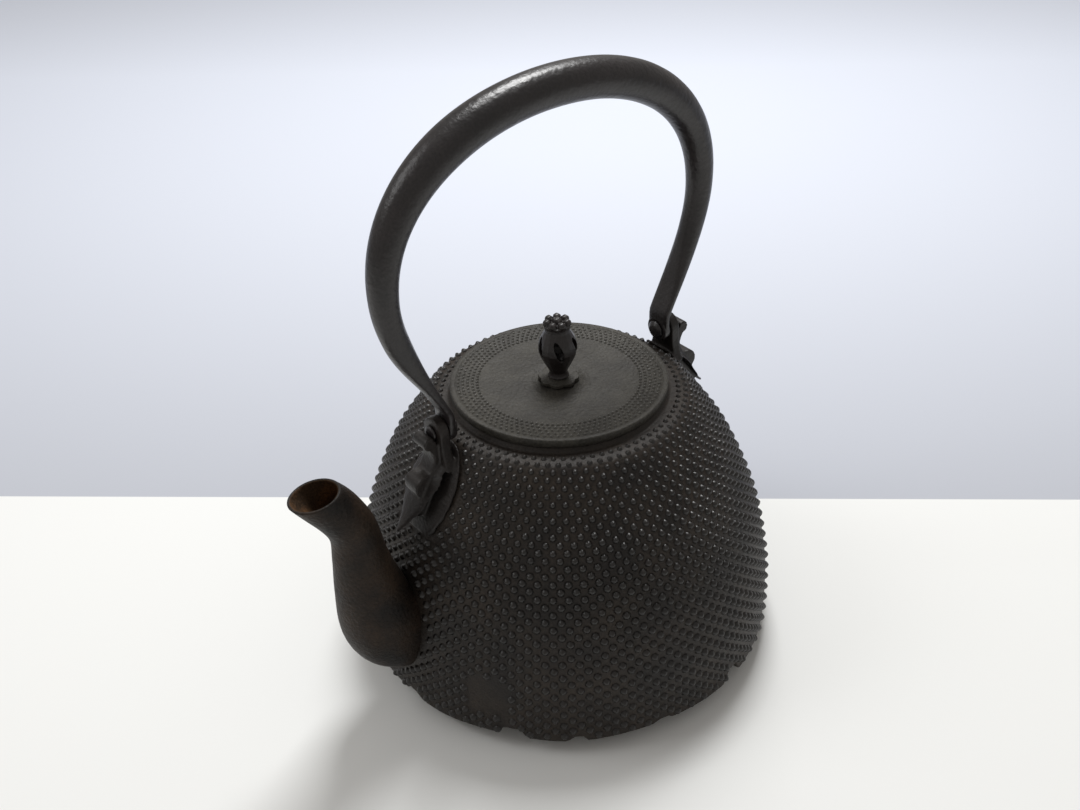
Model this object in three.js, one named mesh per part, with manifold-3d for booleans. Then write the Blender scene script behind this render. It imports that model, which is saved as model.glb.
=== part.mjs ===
// Japanese cast iron kettle (tetsubin) with a swinging bail and a lift-off lid.
// Millimetres, +Z up. The origin is the centre of the flat bottom, on the surface it stands on.
// The spout points towards -X and the bail stands in the plane Y = 0.

import * as THREE from "three";
import { mergeVertices } from "three/addons/utils/BufferGeometryUtils.js";
import Module from "manifold-3d";

const wasm = await Module();
wasm.setup();

// Cast body
const wall = 3.2;                 // iron thickness of the side
const bottomThick = 3.5;          // iron thickness of the flat bottom
const footRadius = 60;            // flat area that stands on the table
const hemRadius = 85.2;           // outside of the skirt at its lower edge
const hemHeight = 8;              // lowest point of the ragged skirt
const hemRise = 5.5;              // how far the bays between its tongues rise
const hemTongues = 13;
const skirtThick = 2.8;
const skirtRoot = 16;             // height at which the skirt leaves the inner pan
const shoulderZ = 110.6;          // flat land round the collar
const collarRadius = 42;
const collarHeight = 1.8;
const mouthRadius = 37;

// Lid
const lidRadius = 42.3;
const lidThick = 3.2;
const lidSeatGap = 0.3;           // lid flange above the collar
const ringRadius = 36.4;          // outside of the locating ring under the lid
const ringThick = 2.2;
const ringDepth = 6.2;
const lidDish = 0.9;              // how far the middle of the lid lies below its rim

// Knob and its fixing
const stemRadius = 1.9;
const stemClearance = 0.3;
const seatRadius = 7.6;
const seatThick = 1.5;
const seatPetals = 8;
const knobRadius = 7.6;
const knobHeight = 25.6;          // from the seat to the top of the crown
const knobWindows = 5;
const washerRadius = 5;
const washerThick = 1.2;
const touchGap = 0.3;             // between pieces that bear on each other

// Spout
const spoutWall = 2.4;
const spoutSeat = 0.3;            // joint line between the spout and the body

// Bail (handle)
const gripRadius = 7.35;          // at the crown
const spreadHalf = 72.4;          // centre line of each arm at its widest
const crownZ = 231.3;             // centre line at the top
const spreadZ = 177;              // height of the widest place
const armFlat = 3.2;              // thickness of the flattened ends
const armWidth = 10.4;            // width of the flattened ends

// Pivots
const pivotZ = 117.3;
const pivotX = 52.9;              // middle of each flattened end
const rivetRadius = 2;
const rivetHead = 3.7;
const rivetPlay = 0.2;            // radial play of the bail on its rivets
const rivetFit = 0.12;            // radial gap of the rivet in its lug
const plateGap = 0.4;             // between the bail and the lug
const earThick = 4.2;
const earRadius = 5.6;
const lugHalfWidth = 9.5;

// Resolution
const bodySegments = 78;          // six to each tongue of the skirt
const lidSegments = 48;

const V2 = (x, y) => new THREE.Vector2(x, y);
const V3 = (x, y, z) => new THREE.Vector3(x, y, z);
const lidTop = shoulderZ + collarHeight + lidSeatGap + lidThick;
const lidUnder = lidTop - lidThick;

// A closed mesh becomes a solid that can be cut and joined.
function solidOf(geometry) {
  const g = geometry.clone();
  g.deleteAttribute("normal");
  g.deleteAttribute("uv");
  const m = mergeVertices(g, 1e-4);
  return new wasm.Manifold(new wasm.Mesh({
    numProp: 3,
    vertProperties: new Float32Array(m.attributes.position.array),
    triVerts: new Uint32Array(m.index.array),
  }));
}

function geometryOf(solid) {
  const mesh = solid.getMesh();
  const g = new THREE.BufferGeometry();
  g.setAttribute("position", new THREE.BufferAttribute(new Float32Array(mesh.vertProperties), 3));
  g.setIndex(new THREE.BufferAttribute(new Uint32Array(mesh.triVerts), 1));
  g.computeVertexNormals();
  return g;
}

// Joins rings of equal point count into a closed skin; a ring of one point is a pole.
function skin(rings, closed = false) {
  const points = rings.flat();
  const start = [];
  rings.reduce((sum, ring, i) => { start[i] = sum; return sum + ring.length; }, 0);
  const index = [];
  const n = Math.max(...rings.map((ring) => ring.length));
  const last = closed ? rings.length : rings.length - 1;
  for (let i = 0; i < last; i++) {
    const a = rings[i];
    const b = rings[(i + 1) % rings.length];
    const sa = start[i];
    const sb = start[(i + 1) % rings.length];
    for (let k = 0; k < n; k++) {
      const k1 = (k + 1) % n;
      if (a.length === 1) index.push(sa, sb + k1, sb + k);
      else if (b.length === 1) index.push(sa + k, sa + k1, sb);
      else index.push(sa + k, sa + k1, sb + k1, sa + k, sb + k1, sb + k);
    }
  }
  const g = new THREE.BufferGeometry();
  g.setAttribute("position", new THREE.Float32BufferAttribute(points.flatMap((p) => [p.x, p.y, p.z]), 3));
  g.setIndex(index);
  return facingOut(g);
}

// Flips a closed mesh whose signed volume is negative.
function facingOut(g) {
  const p = g.attributes.position;
  const id = g.index.array;
  const [a, b, c] = [V3(), V3(), V3()];
  let volume = 0;
  for (let i = 0; i < id.length; i += 3) {
    a.fromBufferAttribute(p, id[i]);
    b.fromBufferAttribute(p, id[i + 1]);
    c.fromBufferAttribute(p, id[i + 2]);
    volume += a.dot(b.cross(c));
  }
  if (volume < 0) {
    for (let i = 0; i < id.length; i += 3) [id[i + 1], id[i + 2]] = [id[i + 2], id[i + 1]];
  }
  g.computeVertexNormals();
  return g;
}

// A profile of (radius, height) turned about Z; shape(point, angle) may move each place.
function turned(profile, segments, { closed = false, shape = null } = {}) {
  const rings = profile.map((p) => {
    if (p.x < 1e-6) return [V3(0, 0, p.y)];
    const ring = [];
    for (let k = 0; k < segments; k++) {
      const t = (2 * Math.PI * k) / segments;
      const q = shape ? shape(p, t) : p;
      ring.push(V3(q.x * Math.cos(t), q.x * Math.sin(t), q.y));
    }
    return ring;
  });
  return skin(rings, closed);
}

// Outside of the body, from the land round the collar down to the hem.
function sideProfile(steps = 12, grow = 0) {
  const curve = new THREE.SplineCurve([
    V2(collarRadius + 1.4, shoulderZ), V2(48, shoulderZ - 0.2), V2(52, shoulderZ - 2.6),
    V2(61, 95.2), V2(68, 84.1), V2(78.7, 58.6), V2(84, 34.8), V2(hemRadius, 20), V2(hemRadius, hemHeight),
  ]);
  return Array.from({ length: steps + 1 }, (_, i) => {
    const p = curve.getPoint(i / steps);
    const t = curve.getTangent(i / steps);
    return V2(p.x - t.y * grow, p.y + t.x * grow);
  });
}

// Height of the ragged hem above its lowest point: rounded tongues of unequal width.
function hemLift(angle) {
  const phase = 0.5 * hemTongues * angle + 0.42 * Math.sin(3 * angle + 0.6);
  return hemRise * (1 - Math.abs(Math.cos(phase))) * (0.75 + 0.25 * Math.sin(2 * angle));
}

function bodyBlank() {
  const outer = sideProfile();
  const inner = sideProfile(9, -wall).filter((p) => p.y > skirtRoot + 6 && p.y < shoulderZ - wall + 0.01);
  const profile = [
    V2(0, 0), V2(footRadius, 0), V2(footRadius + 6, 1.6), V2(footRadius + 13.5, 7.5),
    V2(hemRadius - 7, skirtRoot), V2(hemRadius - skirtThick - 1.6, skirtRoot),
    V2(hemRadius - skirtThick, hemHeight), ...outer.reverse(),
    V2(collarRadius + 0.3, shoulderZ + 0.3), V2(collarRadius, shoulderZ + collarHeight),
    V2(mouthRadius, shoulderZ + collarHeight), V2(mouthRadius, shoulderZ - wall),
    ...inner, V2(hemRadius - 6.5, 22), V2(hemRadius - 12, 12.5), V2(footRadius + 3, bottomThick + 1.6),
    V2(footRadius - 4, bottomThick), V2(0, bottomThick),
  ];
  const low = hemHeight + 0.01;
  const shape = (p, t) => (p.y < low && p.x > hemRadius - skirtThick - 0.5 ? V2(p.x, p.y + hemLift(t)) : p);
  return solidOf(turned(profile, bodySegments, { shape }));
}

// Everything inside the outer side face, grown by a joint gap: what sits on the body is cut by it.
function bodyEnvelope(gap) {
  const side = sideProfile(12, gap);
  return solidOf(turned([V2(0, hemHeight - 6), V2(hemRadius + gap, hemHeight - 6), ...side.reverse(),
    V2(0, shoulderZ + gap)], bodySegments));
}

// Spout: an S-shaped tube with a full, low belly, a narrow neck and a flared level mouth.
const spoutStations = [
  // centre x, centre z, tilt of the axis from level in degrees, half height, half width
  [-66, 38, 0, 22, 13], [-82, 39.5, 12, 21, 14.6], [-90.6, 48.5, 58, 16.4, 15.2], [-93.2, 65, 82, 12.8, 12.5],
  [-94.8, 79.5, 86, 10.2, 10], [-96, 92, 76, 9, 8.8], [-100.8, 102.6, 66, 8.9, 8.6], [-108.4, 113.6, 84, 9.7, 8.6],
];

function spoutTube(inset, rings, sides, overrun = 0) {
  const centre = new THREE.SplineCurve(spoutStations.map(([x, z]) => V2(x, z)));
  const tilt = new THREE.SplineCurve(spoutStations.map(([, , a], i) => V2(i, a)));
  const size = new THREE.SplineCurve(spoutStations.map(([, , , a, b]) => V2(a, b)));
  const list = [];
  for (let i = 0; i <= rings; i++) {
    const u = i / rings;
    const c = centre.getPoint(u);
    const a = THREE.MathUtils.degToRad(tilt.getPoint(u).y);
    const s = size.getPoint(u);
    const push = i === rings ? overrun : 0;
    list.push(Array.from({ length: sides }, (_, k) => {
      const t = (2 * Math.PI * (k + 0.5)) / sides;
      const h = (s.x - inset) * Math.cos(t);
      return V3(c.x - Math.cos(a) * push + Math.sin(a) * h, (s.y - inset) * Math.sin(t),
        c.y + Math.sin(a) * push + Math.cos(a) * h);
    }));
  }
  const ends = [list[0], list[rings]].map((ring) => ring.reduce((s, p) => s.add(p), V3()).divideScalar(sides));
  return solidOf(skin([[ends[0]], ...list, [ends[1]]]));
}

const spoutBore = spoutTube(spoutWall, 18, 14, 0.6);

function makeBody() {
  return geometryOf(bodyBlank().subtract(spoutBore));
}

function makeSpout() {
  return geometryOf(spoutTube(0, 18, 16).subtract(bodyEnvelope(spoutSeat)).subtract(spoutBore));
}

// A round bar along X from x0 to x1 through the pivot.
function barAlongX(radius, x0, x1, sides = 24) {
  const g = new THREE.CylinderGeometry(radius, radius, x1 - x0, sides);
  g.rotateZ(Math.PI / 2);
  g.translate((x0 + x1) / 2, 0, pivotZ);
  return solidOf(g);
}

// An outline in the XZ plane given thickness along Y.
function plateAlongY(shape, width, curveSegments = 5) {
  const g = new THREE.ExtrudeGeometry(shape, { depth: width, bevelEnabled: false, curveSegments });
  g.rotateX(Math.PI / 2);
  g.translate(0, width / 2, 0);
  return solidOf(g);
}

// Lug on the +X side: a pivot ear, two curled lobes in side view and a leaf that lies down the shoulder.
const earX = pivotX + armFlat / 2 + plateGap;

function lugEar() {
  const s = new THREE.Shape();
  s.absarc(0, pivotZ, earRadius, 0, Math.PI, false);
  s.lineTo(-earRadius, 113);
  s.quadraticCurveTo(-earRadius - 0.6, 107, -lugHalfWidth + 1, 103);
  s.lineTo(lugHalfWidth - 1, 103);
  s.quadraticCurveTo(earRadius + 0.6, 107, earRadius, 113);
  const g = new THREE.ExtrudeGeometry(s, { depth: earThick, bevelEnabled: false, curveSegments: 8 });
  g.rotateX(Math.PI / 2);
  g.rotateZ(Math.PI / 2);
  g.translate(earX, 0, 0);
  return solidOf(g);
}

function lugScroll() {
  const s = new THREE.Shape();
  const x = earX + earThick - 1;
  s.moveTo(x, 101);
  s.lineTo(x, 112.2);
  s.quadraticCurveTo(x + 1.6, 113.4, x + 2.2, 115.6);
  s.absarc(x + 4.6, 115.4, 2.6, Math.PI * 0.95, -Math.PI * 0.45, true);
  s.quadraticCurveTo(x + 2.8, 110.4, x + 3.6, 107);
  s.quadraticCurveTo(x + 5, 103, x + 6.4, 102.6);
  s.absarc(x + 7.9, 98, 4.6, Math.PI * 0.55, -Math.PI * 0.35, true);
  s.quadraticCurveTo(x + 12, 90, x + 14, 87);
  s.lineTo(x + 8, 86);
  s.lineTo(x - 1, 98);
  return plateAlongY(s, 8);
}

function lugLeaf() {
  const spine = new THREE.CubicBezierCurve(V2(58, 106), V2(64, 103), V2(70, 88), V2(78.4, 81.4));
  const steps = 14;
  const rings = [];
  for (let i = 0; i <= steps; i++) {
    const u = i / steps;
    const c = spine.getPoint(u);
    const t = spine.getTangent(u);
    const lobes = 1 - 0.16 * Math.abs(Math.sin(3 * Math.PI * u));
    const half = Math.max(lugHalfWidth * lobes * Math.sin(Math.PI * Math.min(1, 0.3 + 0.68 * u)), 0.8);
    const thick = 2.6 - 1.4 * u;
    rings.push([[-1, 0], [-0.55, 0.8], [0, 1], [0.55, 0.8], [1, 0], [0.5, -0.7], [-0.5, -0.7]].map(([y, n]) => {
      const lift = 0.5 * thick * n - 0.1 * Math.abs(y) * half * (1 - u);
      return V3(c.x - t.y * lift, half * y, c.y + t.x * lift);
    }));
  }
  const centre = (ring) => [ring.reduce((s, p) => s.add(p), V3()).divideScalar(ring.length)];
  return solidOf(skin([centre(rings[0]), ...rings, centre(rings[steps])]));
}

// The smooth raised patch of the shoulder that the lug grows from.
function lugPatch() {
  const outline = new THREE.Shape();
  outline.absellipse(62, 0, 11, lugHalfWidth + 3.5, 0, 2 * Math.PI, false);
  const g = new THREE.ExtrudeGeometry(outline, { depth: 40, bevelEnabled: false, curveSegments: 10 });
  g.translate(0, 0, 80);
  return solidOf(g).intersect(bodyEnvelope(1.5));
}

function makeLug() {
  const solid = lugEar().add(lugScroll()).add(lugLeaf()).add(lugPatch())
    .subtract(bodyEnvelope(touchGap))
    .subtract(barAlongX(rivetRadius + rivetFit, earX - 5, earX + earThick + 0.01))
    .subtract(barAlongX(rivetHead + 0.5, earX + earThick, earX + earThick + 2));
  return geometryOf(solid);
}

// Rivet: domed head inside the bail, shank through bail and lug, small peened head outside.
function makeRivet() {
  const inner = pivotX - armFlat / 2 - touchGap;
  const outer = earX + earThick + touchGap;
  const profile = [
    V2(0, inner - 2), V2(rivetHead * 0.6, inner - 1.6), V2(rivetHead, inner - 0.5), V2(rivetHead, inner),
    V2(rivetRadius, inner), V2(rivetRadius, outer), V2(rivetRadius + 1.1, outer),
    V2(rivetRadius + 0.9, outer + 0.9), V2(0, outer + 1.3),
  ];
  const g = turned(profile, 24);
  g.rotateY(Math.PI / 2);
  g.translate(0, 0, pivotZ);
  return g;
}

// Half of the bail's centre line, from the crown to the pivot on the +X side.
function bailPath() {
  const path = new THREE.CurvePath();
  path.add(new THREE.CubicBezierCurve(V2(0, crownZ), V2(42, crownZ), V2(spreadHalf, 210), V2(spreadHalf, spreadZ)));
  path.add(new THREE.CubicBezierCurve(V2(spreadHalf, spreadZ), V2(spreadHalf + 0.5, 158),
    V2(pivotX + 6.1, pivotZ + 19.7), V2(pivotX, pivotZ + 6.7)));
  path.add(new THREE.LineCurve(V2(pivotX, pivotZ + 6.7), V2(pivotX, pivotZ)));
  return path;
}

// Half thickness across the arm and half width along Y at a share u of the way down.
function bailSection(u) {
  const mix = THREE.MathUtils.lerp;
  const taper = mix(gripRadius, 4.6, THREE.MathUtils.smoothstep(u, 0.22, 0.8));
  const flat = THREE.MathUtils.smoothstep(u, 0.72, 0.93);
  return [mix(taper, armFlat / 2, flat), mix(taper, armWidth / 2, flat)];
}

function makeBail() {
  const path = bailPath();
  const steps = 22;
  const sides = 12;
  const half = [];
  for (let i = 0; i <= steps; i++) {
    const u = i / steps;
    const c = path.getPointAt(u);
    const t = path.getTangentAt(u);
    const [a, b] = bailSection(u);
    half.push(Array.from({ length: sides }, (_, k) => {
      const w = (2 * Math.PI * k) / sides;
      return V3(c.x - t.y * a * Math.cos(w), b * Math.sin(w), c.y + t.x * a * Math.cos(w));
    }));
  }
  const mirrored = half.slice(1).reverse().map((ring) => ring.map((p) => V3(-p.x, p.y, p.z)));
  const ends = [-pivotX, pivotX].map((x) => [V3(x, 0, pivotZ)]);
  let solid = solidOf(skin([ends[0], ...mirrored, ...half, ends[1]]));
  for (const side of [-1, 1]) {
    const x = side * pivotX;
    solid = solid.add(barAlongX(armWidth / 2, x - armFlat / 2, x + armFlat / 2));
  }
  for (const side of [-1, 1]) {
    const x = side * pivotX;
    solid = solid.subtract(barAlongX(rivetRadius + rivetPlay, x - armFlat, x + armFlat));
  }
  return geometryOf(solid);
}

function makeLid() {
  const hole = stemRadius + stemClearance;
  const middle = lidTop - lidDish;
  return turned([
    V2(hole, lidUnder - 0.8), V2(ringRadius - ringThick - 0.6, lidUnder - 0.8),
    V2(ringRadius - ringThick, lidUnder - ringDepth), V2(ringRadius, lidUnder - ringDepth),
    V2(ringRadius, lidUnder), V2(lidRadius - 0.3, lidUnder), V2(lidRadius, lidUnder + 0.4),
    V2(lidRadius, lidTop - 0.4), V2(lidRadius - 0.4, lidTop), V2(lidRadius - 1.9, lidTop),
    V2(lidRadius - 2.4, lidTop - 0.4), V2(30, lidTop - 0.55), V2(14, middle), V2(hole, middle),
  ], lidSegments, { closed: true });
}

// Knob: an openwork bud on a slim neck, with a crown of beads; its stem is peened over under the lid.
const seatZ = lidTop - lidDish + touchGap;
const knobZ = seatZ + seatThick + touchGap;

function knobBlank() {
  const tail = lidUnder - 0.8 - touchGap - washerThick - touchGap;
  const bud = new THREE.SplineCurve([
    V2(4.2, 0), V2(3.5, 2.2), V2(5.4, 6), V2(knobRadius, 11.6), V2(6.7, 16.6), V2(4.9, 20), V2(5.2, 22.6),
  ]);
  return solidOf(turned([
    V2(0, tail - 1.4), V2(stemRadius + 1, tail - 1), V2(stemRadius + 1.2, tail), V2(stemRadius, tail),
    V2(stemRadius, knobZ), ...bud.getPoints(12).map((p) => V2(p.x, knobZ + p.y)), V2(0, knobZ + 23.4),
  ], 16));
}

function makeKnob() {
  let solid = knobBlank();
  const hollow = new THREE.SphereGeometry(1, 10, 8);
  hollow.rotateX(Math.PI / 2);
  hollow.scale(5.2, 5.2, 6.4);
  hollow.translate(0, 0, knobZ + 12);
  solid = solid.subtract(solidOf(hollow));
  for (let i = 0; i < knobWindows; i++) {
    const turn = (2 * Math.PI * i) / knobWindows + 0.35;
    const window = new THREE.SphereGeometry(1, 8, 6);
    window.scale(5, 1.55, 4.6);
    window.rotateX(0.32);
    window.translate(5.6, 0, knobZ + 13.4);
    window.rotateZ(turn);
    solid = solid.subtract(solidOf(window));
  }
  for (let i = 0; i < 8; i++) {
    const bead = new THREE.SphereGeometry(i < 7 ? 1.75 : 2.3, 7, 5);
    const turn = (2 * Math.PI * i) / 7;
    const out = i < 7 ? 3.9 : 0;
    bead.translate(out * Math.cos(turn), out * Math.sin(turn), knobZ + knobHeight - 2.3);
    solid = solid.add(solidOf(bead));
  }
  return geometryOf(solid);
}

// Flower-shaped plate between the lid and the knob.
function makeSeat() {
  const outline = new THREE.Shape();
  for (let i = 0; i <= 48; i++) {
    const t = (2 * Math.PI * i) / 48;
    const r = seatRadius * (0.92 + 0.08 * Math.abs(Math.cos((seatPetals * t) / 2)) * 1.6);
    outline[i ? "lineTo" : "moveTo"](r * Math.cos(t), r * Math.sin(t));
  }
  const hole = new THREE.Path();
  hole.absarc(0, 0, stemRadius + stemClearance, 0, 2 * Math.PI, true);
  outline.holes.push(hole);
  const g = new THREE.ExtrudeGeometry(outline, { depth: seatThick, bevelEnabled: false, curveSegments: 10 });
  g.translate(0, 0, seatZ);
  return geometryOf(solidOf(g));
}

function makeWasher() {
  const z = lidUnder - 0.8 - touchGap - washerThick;
  const hole = stemRadius + stemClearance;
  return turned([V2(hole, z), V2(washerRadius, z), V2(washerRadius, z + washerThick), V2(hole, z + washerThick)],
    24, { closed: true });
}

const iron = (color, roughness) => new THREE.MeshStandardMaterial({ color, roughness, metalness: 0.75 });

const group = new THREE.Group();
function place(name, geometry, material, parent = group) {
  const mesh = new THREE.Mesh(geometry, material);
  mesh.name = name;
  parent.add(mesh);
  return mesh;
}

place("kettle_body", makeBody(), iron(0x2e2926, 0.72));
place("spout", makeSpout(), iron(0x2b2623, 0.66));
place("handle", makeBail(), iron(0x332f31, 0.5));

// The two ends of the bail are alike: each lug and rivet is turned half round for the spout side.
for (const [name, turn] of [["rear", 0], ["front", Math.PI]]) {
  const end = new THREE.Group();
  end.rotation.z = turn;
  place(`${name}_lug`, makeLug(), iron(0x2c2825, 0.6), end);
  place(`${name}_rivet`, makeRivet(), iron(0x393332, 0.5), end);
  group.add(end);
}

place("lid", makeLid(), iron(0x3f3a37, 0.6));
place("knob_seat", makeSeat(), iron(0x37322f, 0.55));
place("knob", makeKnob(), iron(0x262120, 0.5));
place("knob_washer", makeWasher(), iron(0x39342f, 0.6));

export default group;
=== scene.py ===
# %% [markdown]
# # A cast iron kettle in Blender
# The construction (body, spout, lugs, handle, lid and knob) comes in as a fixed frame in metres.
# This script gives every piece its finished surface: fine skins in place of the faceted solids,
# the field of small nubs that covers the iron, and a finish for each kind of casting.

# %% Load the frame
import math

import bmesh
import bpy
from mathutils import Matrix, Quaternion, Vector


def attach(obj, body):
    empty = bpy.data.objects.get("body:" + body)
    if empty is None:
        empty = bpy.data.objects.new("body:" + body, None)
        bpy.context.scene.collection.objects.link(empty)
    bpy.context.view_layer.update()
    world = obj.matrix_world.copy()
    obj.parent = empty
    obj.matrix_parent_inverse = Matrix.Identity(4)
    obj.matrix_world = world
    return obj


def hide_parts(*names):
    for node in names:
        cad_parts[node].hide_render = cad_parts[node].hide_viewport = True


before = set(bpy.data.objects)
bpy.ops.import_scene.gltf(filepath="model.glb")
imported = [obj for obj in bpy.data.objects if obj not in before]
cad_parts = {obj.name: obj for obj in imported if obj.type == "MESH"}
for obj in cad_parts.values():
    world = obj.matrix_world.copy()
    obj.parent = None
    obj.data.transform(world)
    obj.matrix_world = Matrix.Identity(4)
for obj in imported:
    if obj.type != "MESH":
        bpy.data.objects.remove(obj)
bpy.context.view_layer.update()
MM = 0.001

# %% [markdown]
# ## The camera first
# The photograph was taken from the front left, looking down at about 34 degrees. The camera could
# be placed by eye, but a pinhole camera that was fitted to the lid rim and the handle lays both
# over their places in the picture.

# %% Camera
CAMERA_PLACE = Vector((-243.9, -309.1, 369.9)) * MM
CAMERA_YAW, CAMERA_PITCH, CAMERA_ROLL = (math.radians(a) for a in (52.84, 34.12, -2.35))
FOCAL_IN_PIXELS, PICTURE_WIDTH, SENSOR = 1211.0, 1080.0, 36.0

look = Vector((math.cos(CAMERA_PITCH) * math.cos(CAMERA_YAW),
               math.cos(CAMERA_PITCH) * math.sin(CAMERA_YAW), -math.sin(CAMERA_PITCH)))
camera_data = bpy.data.cameras.new("camera")
camera_data.sensor_width = SENSOR
camera_data.lens = FOCAL_IN_PIXELS / PICTURE_WIDTH * SENSOR
camera = bpy.data.objects.new("camera", camera_data)
bpy.context.collection.objects.link(camera)
camera.location = CAMERA_PLACE
camera.rotation_mode = "QUATERNION"
camera.rotation_quaternion = look.to_track_quat("-Z", "Y") @ Quaternion((0, 0, 1), CAMERA_ROLL)
bpy.context.scene.camera = camera
print("lens:", round(camera_data.lens, 1), "mm")

# %% [markdown]
# ## Noise in real sizes
# Old kettle iron is nearly black, and no two patches of it are alike. Noise gives that unevenness.
# It is read from Object coordinates, in millimetres of blotch width, so that a blotch has its real
# size and stays on its piece when the handle swings or the lid lifts.

# %% Noise, ranges and bumps
def noise(material, size_mm, detail):
    nodes, links = material.node_tree.nodes, material.node_tree.links
    place = nodes.new("ShaderNodeTexCoord")
    node = nodes.new("ShaderNodeTexNoise")
    node.inputs["Scale"].default_value = 1.0 / (size_mm * MM)
    node.inputs["Detail"].default_value = detail
    links.new(place.outputs["Object"], node.inputs["Vector"])
    return node.outputs["Fac"]


def stretched(material, value, range_in, range_out):
    """Maps the values of a noise from one range to another."""
    nodes, links = material.node_tree.nodes, material.node_tree.links
    node = nodes.new("ShaderNodeMapRange")
    labels = ("From Min", "From Max", "To Min", "To Max")
    for label, number in zip(labels, (*range_in, *range_out)):
        node.inputs[label].default_value = number
    links.new(value, node.inputs["Value"])
    return node.outputs["Result"]


def bump(material, height, strength, depth_mm, below=None):
    nodes, links = material.node_tree.nodes, material.node_tree.links
    node = nodes.new("ShaderNodeBump")
    node.inputs["Strength"].default_value = strength
    node.inputs["Distance"].default_value = depth_mm * MM
    links.new(height, node.inputs["Height"])
    if below is not None:
        links.new(below, node.inputs["Normal"])
    return node.outputs["Normal"]


# %% [markdown]
# ## Colour in two sizes
# Broad patches mix a dark tone and a lighter, browner one. A fine speckle then makes every spot a
# little brighter or darker, as the skin of a sand casting is.

# %% Patchy, speckled colour
PATCHES, SPECKLES = (14, 5), (0.8, 3)  # blotch width in mm, and detail
PATCH_EDGES = (0.35, 0.68)
SPECKLE_EDGES, SPECKLE_VALUES = (0.3, 0.7), (0.65, 1.4)


def patchy_colour(material, dark, light):
    nodes, links = material.node_tree.nodes, material.node_tree.links
    tones = nodes.new("ShaderNodeValToRGB")
    for element, edge, colour in zip(tones.color_ramp.elements, PATCH_EDGES, (dark, light)):
        element.position = edge
        element.color = (*colour, 1)
    links.new(noise(material, *PATCHES), tones.inputs["Fac"])
    speckled = nodes.new("ShaderNodeHueSaturation")
    links.new(tones.outputs["Color"], speckled.inputs["Color"])
    value = stretched(material, noise(material, *SPECKLES), SPECKLE_EDGES, SPECKLE_VALUES)
    links.new(value, speckled.inputs["Value"])
    return speckled.outputs["Color"]


# %% [markdown]
# ## The finish of cast iron
# One function makes the iron of every piece. Besides its colour it varies how the surface shines,
# and adds two sizes of bump: soft unevenness from the mould, and the grain of the casting skin.

# %% Cast iron
SHINE_PATCHES, SHINE_SWING = (5, 3), 0.07
MOULD_WAVES, MOULD_DEPTH = (4, 2), 0.6
GRAIN_DETAIL, GRAIN_DEPTH = 4, 0.5


def iron(name, dark, light, roughness, grain=0.25, grain_size=1.1, uneven=0.15, specular=0.35):
    material = bpy.data.materials.new(name)
    material.use_nodes = True
    links = material.node_tree.links
    shader = material.node_tree.nodes["Principled BSDF"]
    shader.inputs["Specular IOR Level"].default_value = specular
    links.new(patchy_colour(material, dark, light), shader.inputs["Base Color"])
    shine = stretched(material, noise(material, *SHINE_PATCHES), (0, 1),
                      (roughness - SHINE_SWING, roughness + SHINE_SWING))
    links.new(shine, shader.inputs["Roughness"])
    mould = bump(material, noise(material, *MOULD_WAVES), uneven, MOULD_DEPTH)
    fine = noise(material, grain_size, GRAIN_DETAIL)
    casting_skin = bump(material, fine, grain, GRAIN_DEPTH, mould)
    links.new(casting_skin, shader.inputs["Normal"])
    return material


# %% [markdown]
# ## Skins from rings
# Most of this kettle is turned or lofted, so its surfaces are rings of points joined by faces. One
# helper puts a mesh in the scene as an object at the origin, with its place in its mesh. The next
# joins any list of rings into such an object.

# %% Rings into skins
def as_object(name, mesh):
    piece = bpy.data.objects.new(name, mesh)
    bpy.context.collection.objects.link(piece)
    return piece


def skin(name, rings, closed=False, inner_from=None, materials=()):
    """Joins rings of (x, y, z) in millimetres. A ring of one point is a pole.
    A closed skin joins its last ring to its first, and inner_from starts the second material."""
    mesh_maker = bmesh.new()
    made = [[mesh_maker.verts.new([c * MM for c in p]) for p in ring] for ring in rings]
    pairs = list(zip(made, made[1:])) + ([(made[-1], made[0])] if closed else [])
    for number, (a, b) in enumerate(pairs):
        count = max(len(a), len(b))
        for k in range(count):
            k1 = (k + 1) % count
            if len(a) == 1:
                face = mesh_maker.faces.new((a[0], b[k1], b[k]))
            elif len(b) == 1:
                face = mesh_maker.faces.new((a[k], a[k1], b[0]))
            else:
                face = mesh_maker.faces.new((a[k], a[k1], b[k1], b[k]))
            face.smooth = True
            if inner_from is not None and number >= inner_from:
                face.material_index = 1
    bmesh.ops.recalc_face_normals(mesh_maker, faces=mesh_maker.faces)
    mesh = bpy.data.meshes.new(name)
    mesh_maker.to_mesh(mesh)
    mesh_maker.free()
    for material in materials:
        mesh.materials.append(material)
    return as_object(name, mesh)


# %% [markdown]
# ## Rings from a profile
# A turned piece is drawn as half of its outline, like a turner's template. Each point of the profile
# becomes a ring round the kettle's axis, and a point on the axis closes the skin there. A tube that
# is not turned gets a point in the middle of its end ring instead.

# %% Turned rings and poles
def turned_rings(profile, count, shape=None):
    """Rings round the axis for a profile of (radius, height); shape may move each point."""
    rings = []
    for r, z in profile:
        if r < 1e-6:
            rings.append([(0, 0, z)])
            continue
        ring = []
        for k in range(count):
            t = 2 * math.pi * k / count
            rr, zz = shape(r, z, t) if shape else (r, z)
            ring.append((rr * math.cos(t), rr * math.sin(t), zz))
        rings.append(ring)
    return rings


def pole(ring):
    """The middle of a ring, as a ring of one point that closes an end."""
    return [tuple(sum(p[i] for p in ring) / len(ring) for i in range(3))]


# %% [markdown]
# ## Plain meshes and cuts
# A modifier is a recipe, and the finished kettle needs the result. So each modifier is worked out
# and replaced by the plain mesh it gives. A Boolean modifier does the cutting, as a drill or a file
# would, and its tool is thrown away afterwards.

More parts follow.
